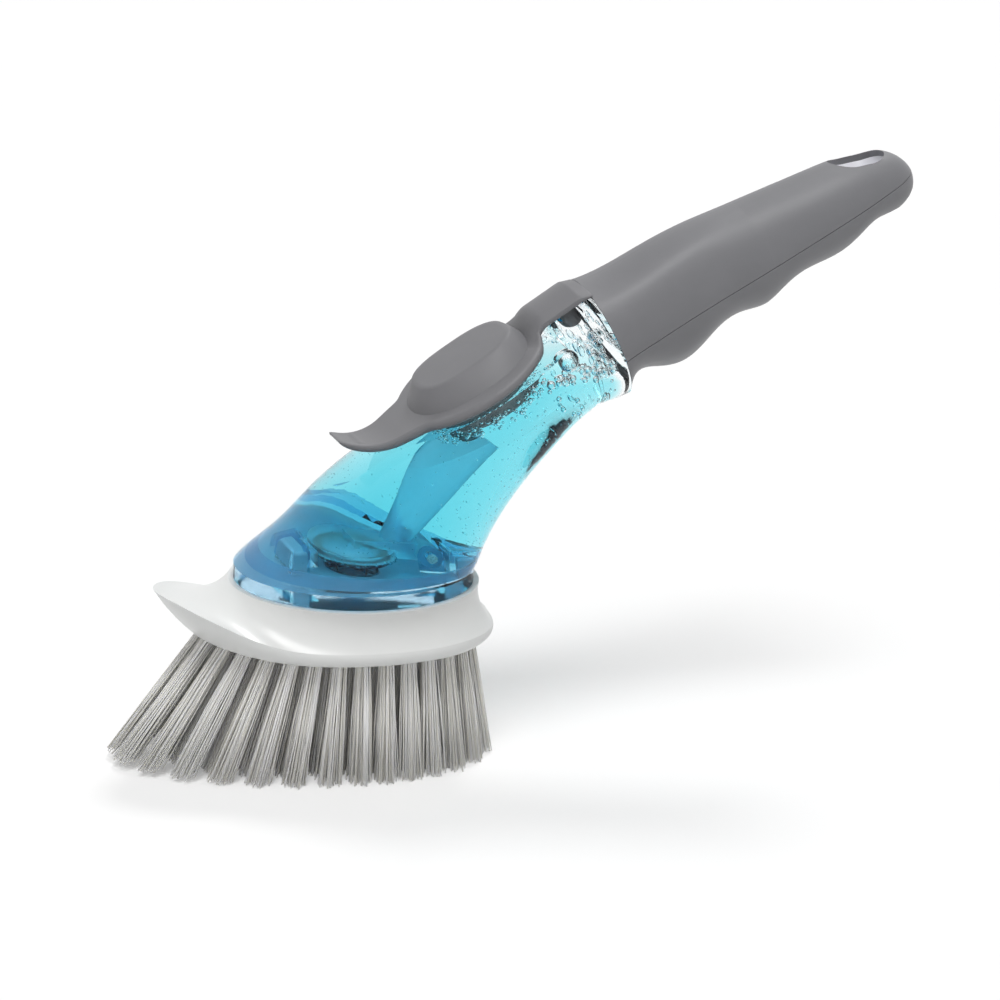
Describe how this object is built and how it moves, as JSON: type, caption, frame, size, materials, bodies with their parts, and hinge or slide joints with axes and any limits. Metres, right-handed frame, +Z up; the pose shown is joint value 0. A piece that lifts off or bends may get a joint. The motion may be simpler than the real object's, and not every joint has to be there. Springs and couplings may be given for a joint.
{
  "type": "soap dispensing dish wand",
  "caption": "Dish wand with a clear soap reservoir, hinged filler lid with push button and valve, slanting grey handle with hang slot, and a pull-off white bristle head with scraper beak",
  "frame": {"origin": "on the plane of the bristle tips, under the middle of the reservoir's base", "axes": "+Z up away from the bristles, +X towards the handle, +Y across the width; symmetric about the plane Y = 0"},
  "size_m": [0.218, 0.0616, 0.1586],
  "materials": {
    "clear_plastic": "clear polished",
    "stem_plastic": "translucent",
    "grip_grey": "soft touch satin",
    "lid_grey": "soft touch satin",
    "seal_rubber": "smooth rubber",
    "pin_steel": "drawn wire",
    "head_white": "glossy moulded",
    "core_white": "moulded",
    "bristle_nylon": "nylon filament"
  },
  "bodies": {
    "reservoir": {"reservoir_shell": "clear_plastic", "reservoir_base": "clear_plastic", "neck_seal": "seal_rubber", "handle_upper": "grip_grey", "handle_lower": "grip_grey", "handle_core": "core_white", "strap_anchor": "lid_grey", "lever_pin": "pin_steel"},
    "lid": {"lid_plate": "lid_grey", "lid_plug": "lid_grey", "lid_gasket": "seal_rubber", "dome_skirt": "lid_grey"},
    "button": {"button_cap": "lid_grey", "button_plunger": "lid_grey"},
    "valve": {"valve_lever": "stem_plastic", "valve_seal": "seal_rubber"},
    "head": {"head_shell": "head_white", "bristle_plate": "head_white", "outlet_seal": "seal_rubber", "outer_tufts": "bristle_nylon", "second_tufts": "bristle_nylon", "third_tufts": "bristle_nylon", "inner_tufts": "bristle_nylon"}
  },
  "joints": [
    {"name": "lid_hinge", "type": "hinge", "parent": "reservoir", "child": "lid", "pos_m": [0.0479, 0, 0.11412], "axis": [0, 1, 0], "range_deg": [0, 105]},
    {"name": "button_press", "type": "slide", "parent": "lid", "child": "button", "axis": [0.5519, 0, -0.8339], "range_m": [0, 0.0035], "stiffness_N_per_m": 1500},
    {"name": "valve_tilt", "type": "hinge", "parent": "reservoir", "child": "valve", "pos_m": [0.0165, 0, 0.0546], "axis": [0, 1, 0], "range_deg": [0, 8.02]},
    {"name": "head_pull", "type": "slide", "parent": "reservoir", "child": "head", "axis": [0, 0, -1], "range_m": [0, 0.03]}
  ],
  "couplings": [
    {"joint": "valve_tilt", "follows": "button_press", "rad_per_m": 39}
  ]
}
